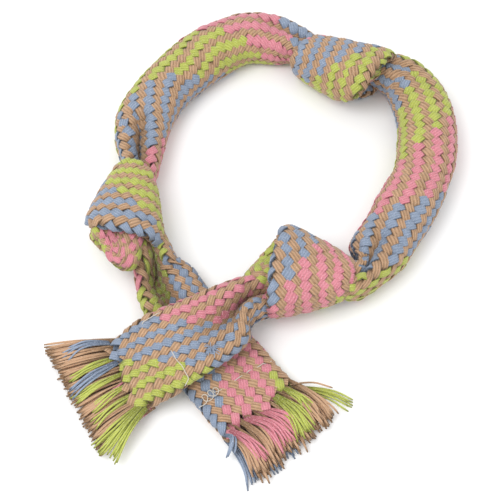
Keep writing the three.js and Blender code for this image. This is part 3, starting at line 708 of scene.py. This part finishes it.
def mesh_piece(name, places, corners, maps):
    """A smooth mesh of four-sided faces from points with their shades, the faces' corners and their maps."""
    mesh = bpy.data.meshes.new(name)
    mesh.vertices.add(len(places))
    mesh.vertices.foreach_set("co", (places[:, :3] * MM).ravel())
    shades = mesh.attributes.new("shade", "FLOAT", "POINT")
    shades.data.foreach_set("value", places[:, 3].astype(np.float32))
    mesh.loops.add(corners.size)
    mesh.loops.foreach_set("vertex_index", corners.ravel().astype(np.int32))
    mesh.polygons.add(len(corners))
    mesh.polygons.foreach_set("loop_start", np.arange(0, corners.size, 4, dtype=np.int32))
    mesh.update(calc_edges=True)
    for map_name, values in maps.items():
        layer = mesh.uv_layers.new(name=map_name)
        layer.data.foreach_set("uv", values.ravel().astype(np.float32))
    mesh.polygons.foreach_set("use_smooth", np.ones(len(corners), bool))
    piece = bpy.data.objects.new(name, mesh)
    bpy.context.collection.objects.link(piece)
    return piece


def tube_rings(line, radii, sides, shade):
    """Rings of a round tube along a line, with a shade for each ring."""
    ahead = unit(np.gradient(line, axis=0))
    across = unit(np.cross(ahead, OFF_UP))
    out = np.cross(across, ahead)
    angle = np.arange(sides) * 2 * np.pi / sides
    ring = np.cos(angle)[:, None] * across[:, None] + np.sin(angle)[:, None] * out[:, None]
    return shaded(line[:, None] + ring * radii[:, None, None], shade[:, None])


class Fringe:
    """The loose yarns of a frayed end, as tubes by colour: jute that fans out in a thick flat sheet to a cut,
    and tufts of cotton on and under it."""

    def __init__(self, end_row, inward, shape):
        self.end, self.shape = ROWS[end_row], shape
        self.ahead = level(self.end[CENTRE] - ROWS[end_row + END_SPAN * inward, CENTRE])
        self.left = np.cross(UP, self.ahead)
        self.half_width = np.linalg.norm(self.end[WIDE]) - FRINGE_INSET
        self.tubes = lists_by_colour()
        self.add_jute()
        self.add_tufts()

    def place(self, across, out, height):
        return np.array([*(self.end[CENTRE] + self.ahead * out + self.left * across)[:2], height])

    def root_across(self, share):
        return mix(-self.half_width, self.half_width, share)

    def tip_across(self, share):
        return mix(-self.shape["right"], self.shape["left"], share)

    def add_yarn(self, colour, root, tip, radius, bow, wave):
        """One loose yarn from inside the braid to its tip, bowed and a little wavy."""
        t = np.linspace(0, 1, YARN_POINTS)[:, None]
        line = mix(root, tip, t) + (bow + self.left * self.shape["bow"]) * np.sin(np.pi * t)
        phases = rng.uniform(0, 2 * np.pi, len(YARN_WAVES))
        aside, up = (np.sin(turns * t + phase) for turns, phase in zip(YARN_WAVES, phases))
        line += self.left * wave * t * aside + UP * wave * t * up
        line[:, 2] = np.maximum(line[:, 2], radius)
        radii = radius * np.append(np.ones(YARN_POINTS - 1), YARN_TIP)
        self.tubes[colour].append(tube_rings(line, radii, YARN_SIDES, keyed(YARN_SHADES, t[:, 0])))

    def add_jute(self):
        for layer in range(JUTE_LAYERS):
            rise = layer / (JUTE_LAYERS - 1)
            for i in range(JUTE_YARNS):
                share = (i + 0.5 + rng.uniform(*JUTE_PLACES)) / JUTE_YARNS
                edge = 1 - EDGE_THINNING * abs(2 * share - 1) ** EDGE_POWER
                root_height = self.end[2] + mix(*JUTE_ROOT_HEIGHTS, rise) * edge + rng.uniform(*JUTE_HEIGHTS)
                clump = (math.floor(share * CLUMPS) + 0.5) / CLUMPS
                root_across = self.root_across(mix(share, clump, CLUMPING))
                root = self.place(root_across, -rng.uniform(*JUTE_BACKS) * FRAY_BACK, root_height)
                reach = self.shape["reach"] * (1 + rng.normal(0, self.shape["ragged"]))
                tip_across = self.tip_across(share) + rng.normal(0, JUTE_TIP_SPREAD)
                tip = self.place(tip_across, reach - TOP_LAYER_SHORTER * rise, mix(*JUTE_TIP_HEIGHTS, rise))
                radius = JUTE_RADIUS * rng.uniform(*JUTE_SIZES)
                self.add_yarn("tan", root, tip, radius, UP * rng.uniform(*JUTE_RISES), JUTE_WAVE)

    def add_tufts(self):
        for colour, root_share, tip_share, reach, yarns, on_top, *own_bow in self.shape["tufts"]:
            tip_height = mix(TUFT_TIP_UNDER, rng.uniform(*TUFT_TIPS_ON), on_top) - TUFT_LAYER
            root_height = self.end[2] + mix(*TUFT_ROOT_HEIGHTS, on_top)
            bow = self.left * rng.normal(sum(own_bow), TUFT_BOW_SPREAD)
            for i in range(yarns):
                side, layer = i - (yarns - 1) / 2, TUFT_LAYER * (i % 2)
                root_across = self.root_across(root_share) + TUFT_ROOT_SPACING * side
                root = self.place(root_across, -TUFT_BACK * FRAY_BACK, root_height + layer)
                out = self.shape["reach"] * reach + rng.normal(0, TUFT_REACH_SPREAD)
                tip_across = self.tip_across(tip_share) + TUFT_TIP_SPACING * side
                tip = self.place(tip_across + rng.normal(0, TUFT_TIP_SPREAD), out, tip_height + layer)
                rise = UP * rng.uniform(*TUFT_RISES) * on_top
                self.add_yarn(colour, root, tip, COTTON_RADIUS, rise + bow, COTTON_WAVE)


def frizz_tubes(at, fraction):
    """Fine fibres that stand off a worn stitch."""
    fibre_rng = np.random.default_rng(FRIZZ_SEED)
    row = row_of(at)
    place, out = (part[0] for part in on_braid(np.array([row]), np.array([fraction]))[:2])
    t = np.linspace(0, 1, FRIZZ_POINTS)[:, None]
    radii, shade = np.full(FRIZZ_POINTS, FRIZZ_RADIUS), np.full(FRIZZ_POINTS, FRIZZ_SHADE)
    tubes = []
    for angle in fibre_rng.uniform(0, 2 * np.pi, FRIZZ_FIBRES):
        way = math.cos(angle) * AXES[row] + math.sin(angle) * np.cross(out, AXES[row])
        reach, lift, curl = fibre_rng.uniform(FRIZZ_LEAST, FRIZZ_MOST)
        line = place + out * (SURFACE_DEPTH - FRIZZ_SUNK + lift * np.sin(np.pi * t)) + way * reach * t
        line += np.cross(out, way) * curl * t**2
        tubes.append(tube_rings(line, radii, FRIZZ_SIDES, shade))
    return tubes


def core_tube(first, last):
    """The plain tube inside the braid that closes the gaps of the weave, coloured dark as painted shade."""
    rows = np.arange(first, last + CORE_ROWS, CORE_ROWS).clip(0, END_ROW)
    return shaded(outlines(ROWS[rows], SURFACE_DEPTH + CORE_DEPTH, CORE_POINTS)[0], CORE_SHADE)


# Materials: the scales of a yarn's streaks, patches and grain, their shares in its tone and bump, with
# the share of the painted shade in its tone, the tones of its deepest, dark and light colours, the deepest
# and the fuzz against those, and the grain that is fuzz. The deepest colour shows where the painted shade
# is strong, and the dark one serves both darker streaks and painted shade in grooves, dips and creases
YARN_FINISH = {"Roughness": 0.92, "Specular IOR Level": 0.2, "Sheen Weight": 0.25, "Sheen Roughness": 0.5}
STREAK_SCALE = 0.35
PATCH_SCALE, GRAIN_SCALE = 0.16, 2.2
PATCHES_IN_TONE, SHADE_IN_TONE, GRAIN_IN_BUMP = 0.3, 0.4, 0.5
DEEP_SHADE_TONE, DARK_TONE, LIGHT_TONE = 0.16, 0.42, 0.72
DEEP_SHADE_SHARE, FUZZ_PALER = 0.6, 0.55
FUZZ_FROM, FUZZ_TO = 0.53, 0.7
BUMP_DEPTH = 0.3


def linear(red, green, blue):
    """A colour picked in screen values, from 0 to 255, as the shader's light values."""
    parts = np.array([red, green, blue]) / 255
    return (*np.where(parts < 0.04045, parts / 12.92, ((parts + 0.055) / 1.055) ** 2.4), 1.0)


def set_inputs(node, values):
    for socket, value in values.items():
        node.inputs[socket].default_value = value


def noise(tree, scale, detail, vector):
    texture = tree.nodes.new("ShaderNodeTexNoise")
    set_inputs(texture, {"Scale": scale, "Detail": detail, "Roughness": 0.6})
    tree.links.new(vector, texture.inputs["Vector"])
    return texture.outputs["Fac"]


def mixed(tree, a, b, share):
    node = tree.nodes.new("ShaderNodeMix")
    set_inputs(node, {"Factor": share})
    tree.links.new(a, node.inputs["A"])
    tree.links.new(b, node.inputs["B"])
    return node.outputs["Result"]


def ramp(tree, value, *stops):
    node = tree.nodes.new("ShaderNodeValToRGB")
    while len(node.color_ramp.elements) < len(stops):
        node.color_ramp.elements.new(0.5)
    for element, (position, colour) in zip(node.color_ramp.elements, stops):
        element.position = position
        element.color = colour
    tree.links.new(value, node.inputs["Fac"])
    return node.outputs["Color"]


def yarn_material(name, light, dark, fuzz, fibre, twist, bump):
    """Spun yarn: streaks of fibre that lie at a slant along it, with painted shade from the mesh's shade
    attribute that darkens its grooves, dips and creases, and with pale fuzz.
    """
    material = bpy.data.materials.new(name)
    material.use_nodes = True
    tree = material.node_tree
    nodes, links = tree.nodes, tree.links
    shader = nodes["Principled BSDF"]
    set_inputs(shader, YARN_FINISH)
    along = nodes.new("ShaderNodeUVMap")
    along.uv_map = "yarn"
    slant = nodes.new("ShaderNodeMapping")
    set_inputs(slant, {"Rotation": (0, 0, twist)})
    stretch = nodes.new("ShaderNodeMapping")
    set_inputs(stretch, {"Scale": (STREAK_SCALE, fibre, 1)})
    links.new(along.outputs["UV"], slant.inputs["Vector"])
    links.new(slant.outputs["Vector"], stretch.inputs["Vector"])

    streaks = noise(tree, 1, 5, stretch.outputs["Vector"])
    patches = noise(tree, PATCH_SCALE, 2, along.outputs["UV"])
    # Painted shade: the mesh's shade attribute darkens the tone towards the dark and deepest colours
    shade = nodes.new("ShaderNodeAttribute")
    shade.attribute_name = "shade"
    tone = mixed(tree, mixed(tree, streaks, patches, PATCHES_IN_TONE), shade.outputs["Fac"], SHADE_IN_TONE)
    deep = linear(*(DEEP_SHADE_SHARE * np.array(dark)))
    yarn = ramp(tree, tone, (DEEP_SHADE_TONE, deep), (DARK_TONE, linear(*dark)), (LIGHT_TONE, linear(*light)))
    grain = noise(tree, GRAIN_SCALE, 4, along.outputs["UV"])
    flecks = ramp(tree, grain, (FUZZ_FROM, (0, 0, 0, 1)), (FUZZ_TO, (fuzz, fuzz, fuzz, 1)))
    paler = nodes.new("ShaderNodeMix")
    paler.data_type = "RGBA"
    links.new(flecks, paler.inputs[0])
    links.new(yarn, paler.inputs[6])
    set_inputs(paler, {7: linear(*mix(np.array(light), 255, FUZZ_PALER))})
    links.new(paler.outputs[2], shader.inputs["Base Color"])
    raised = nodes.new("ShaderNodeBump")
    set_inputs(raised, {"Strength": bump, "Distance": BUMP_DEPTH * MM})
    links.new(mixed(tree, streaks, grain, GRAIN_IN_BUMP), raised.inputs["Height"])
    links.new(raised.outputs["Normal"], shader.inputs["Normal"])
    return material


COTTON_YARN = dict(fuzz=0.6, fibre=3, twist=0.25, bump=1.1)
MATERIALS = {
    "tan": yarn_material("jute_yarn", (198, 160, 127), (124, 95, 66), fuzz=0.4, fibre=3, twist=0.3, bump=1.3),
    "pink": yarn_material("pink_cotton", (218, 139, 151), (164, 93, 102), **COTTON_YARN),
    "green": yarn_material("green_cotton", (185, 193, 92), (125, 130, 48), **COTTON_YARN),
    "blue": yarn_material("blue_cotton", (142, 156, 178), (92, 104, 122), **COTTON_YARN),
    # The core is the jute darkened: painted shade seen through the gaps of the weave
    "core": yarn_material("shaded_inner_yarn", (88, 66, 47), (52, 37, 26), fuzz=0.1, fibre=2, twist=0.4, bump=0.6),
    "thread": yarn_material(
        "pale_thread", (204, 197, 186), (168, 160, 148), fuzz=0.2, fibre=4, twist=0.6, bump=0.4,
    ),
}


def dressed(piece, colour):
    piece.data.materials.append(MATERIALS[colour])
    return piece


# Pieces: each stretch of the rope has one piece for each colour of yarn, and one inside painted dark as shade
KNOT_PARTS = ("inner_strand", "elbow", "band", "tucked_strand")
FRINGE_BUNDLES = 5
# The stretches that end in a fringe: the row there, the way back into the rope and the fringe's shape
FRAYED = {"under_end": (0, 1, UNDER_FRINGE), "over_end": (END_ROW, -1, OVER_FRINGE)}


def knot_nodes(name):
    return [f"{name}_{part}" for part in KNOT_PARTS]


def end_nodes(name):
    return [f"{name}_end", *(f"{name}_fringe_{i + 1}" for i in range(FRINGE_BUNDLES))]


def woven_on(strand):
    """How many rows past its end the over tail's upper side still holds a strand, by where that is across."""
    beyond = np.arange(END_ROW, len(ROWS))
    ahead = level(ROWS[END_ROW, CENTRE] - ROWS[END_ROW - END_SPAN, CENTRE])
    across = (strand.line[beyond] - ROWS[beyond, CENTRE]) @ np.cross(UP, ahead)
    held = (beyond - END_ROW) * STEP <= keyed(WOVEN_ON, across / np.linalg.norm(ROWS[END_ROW, WIDE]))
    held[1:] &= strand.out[beyond[1:], 2] > 0
    return int(np.argmin(np.append(held, False))) - 1


def kept_rows(name, strand):
    """The rows of one strand in a stretch: those of a frayed end stop unevenly."""
    first, last = rows_of(name)
    last = min(last, END_ROW)
    lost = rng.integers(0, FRAY_ROWS) if name in FRAYED else 0
    if name == "under_end":
        return np.arange(first + lost, last + 1)
    more = woven_on(strand) if name == "over_end" else 0
    return np.arange(first, last + more - lost + 1)


def stretch_pieces(name):
    tubes = lists_by_colour()
    for strand in TAN_STRANDS:
        rows = kept_rows(name, strand)
        tubes["tan"].append(strand.rings(rows, TAN_SECTION, TAN_HALF_WIDTH, TAN_HALF_THICKNESS))
    for i, strand in enumerate(COTTON_STRANDS):
        rows = kept_rows(name, strand)
        rings = strand.rings(rows, COTTON_SECTION, COTTON_HALF_WIDTH, COTTON_HALF_THICKNESS)
        tubes[cotton_of(i)].append(rings)
    if name in FRAYED:
        for colour, loose in Fringe(*FRAYED[name]).tubes.items():
            tubes[colour] += loose
    if name == "right":
        tubes["blue"] += frizz_tubes(RIGHT_EXIT + WORN_STITCH[0], WORN_STITCH[1])
    tubes["core"] = [core_tube(*rows_of(name))]
    return {colour: dressed(tubes_mesh(f"{name}_{colour}", made), colour) for colour, made in tubes.items()}


def bend(pieces, body_a, body_b, start, end):
    for piece in pieces.values():
        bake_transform(piece)


def across_cut(at, direction):
    """Start and end of the bend near a tail's end."""
    before, middle, after = rope_at([at - CUT_HEADING, at, at + CUT_HEADING])[:, CENTRE]
    ahead = level(after - before) * direction
    return middle - CUT_HALF_LENGTH * ahead, middle + CUT_HALF_LENGTH * ahead


def smooth(points, each):
    """A smooth line through points, with a number of steps from each to the next."""
    points = carried_on(points)
    before, a, b, after = (points[k:len(points) - 3 + k, None] for k in range(4))
    line = curve(before, a, b, after, (np.arange(each) / each)[None, :, None])
    return np.concatenate([line.reshape(-1, points.shape[1]), points[-2:-1]])


def sewing_thread(name, neck, direction, points, body, node):
    """The thread across the upper side of a tail, which goes in and out between the strands."""
    points = np.array(points)
    rows = np.array([row_of(neck + direction * along) for along in points[:, 0]])
    place, out = on_braid(rows, points[:, 1])[:2]
    line = smooth(place + out * (SURFACE_DEPTH + points[:, 2:]), THREAD_POINTS)
    radii = np.full(len(line), THREAD_DIAMETER / 2)
    rings = tube_rings(line, radii, THREAD_SIDES, np.ones(len(line)))
    piece = dressed(tubes_mesh(name, [rings]), "thread")
    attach(piece, body)
    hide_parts(node)


def place_camera():
    target = on_plan(LOOKS_AT, LOOKS_AT[2])
    eye = target + DISTANCE * np.array([0, -math.cos(ELEVATION), math.sin(ELEVATION)])
    data = bpy.data.cameras.new("camera")
    data.lens = LENS
    data.sensor_width = SENSOR
    camera = bpy.data.objects.new("camera", data)
    camera.location = eye * MM
    camera.rotation_euler = (math.pi / 2 - ELEVATION, 0, 0)
    bpy.context.collection.objects.link(camera)
    bpy.context.scene.camera = camera


def make_rope():
    pieces = {name: stretch_pieces(name) for name in STRETCHES}
    bend(pieces["under_end"], "left_half", "under_tail_end", *across_cut(LEFT_EXIT - UNDER_CUT, -1))
    for piece in pieces["left"].values():
        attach(piece, "left_half")
    bend(pieces["left_span"], "left_half", "top_knot", *in_knot(TOP_KNOT, TOP_ENTRY_BEND))
    bend(pieces["top"], "top_knot", "right_span", *in_knot(TOP_KNOT, TOP_EXIT_BEND))
    bend(pieces["right_span"], "right_span", "right_knot", *in_knot(RIGHT_KNOT, RIGHT_ENTRY_BEND))
    bend(pieces["right"], "right_knot", "over_tail", *in_knot(RIGHT_KNOT, RIGHT_EXIT_BEND))
    bend(pieces["over_end"], "over_tail", "over_tail_end", *across_cut(RIGHT_EXIT + OVER_CUT, 1))
    sewing_thread("over_thread", RIGHT_EXIT, 1, OVER_THREAD, "over_tail", "over_tail_stitch")
    sewing_thread("under_thread", LEFT_EXIT, -1, UNDER_THREAD, "left_half", "under_tail_stitch")
    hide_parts(*end_nodes("under_tail"))
    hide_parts("under_tail", *knot_nodes("left_knot"))
    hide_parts("left_span")
    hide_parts(*knot_nodes("top_knot"))
    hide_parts("right_span")
    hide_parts("over_tail", *knot_nodes("right_knot"))
    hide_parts(*end_nodes("over_tail"))


def make_floor():
    half = FLOOR_HALF_WIDTH
    corners = [(-half, -half, 0), (half, -half, 0), (half, half, 0), (-half, half, 0)]
    mesh = bpy.data.meshes.new("floor")
    mesh.from_pydata(corners, [], [range(len(corners))])
    floor = bpy.data.objects.new("floor", mesh)
    bpy.context.collection.objects.link(floor)
    material = bpy.data.materials.new("floor")
    material.use_nodes = True
    set_inputs(material.node_tree.nodes["Principled BSDF"], FLOOR_FINISH)
    mesh.materials.append(material)


def make_light():
    """A bright sky, and soft lights from the left and the right that point at the origin."""
    bpy.context.scene.view_settings.view_transform = "Standard"
    world = bpy.data.worlds.new("studio")
    bpy.context.scene.world = world
    world.use_nodes = True
    set_inputs(world.node_tree.nodes["Background"], SKY)
    for name, (place, size, power) in LIGHTS.items():
        data = bpy.data.lights.new(name, "AREA")
        data.size = size
        data.energy = power
        lamp = bpy.data.objects.new(name, data)
        lamp.location = place
        direction = -np.array(place)
        lamp.rotation_euler = (
            math.acos(-direction[2] / np.linalg.norm(direction)), 0,
            math.atan2(direction[1], direction[0]) - math.pi / 2,
        )
        bpy.context.collection.objects.link(lamp)


place_camera()
make_rope()
make_floor()
make_light()
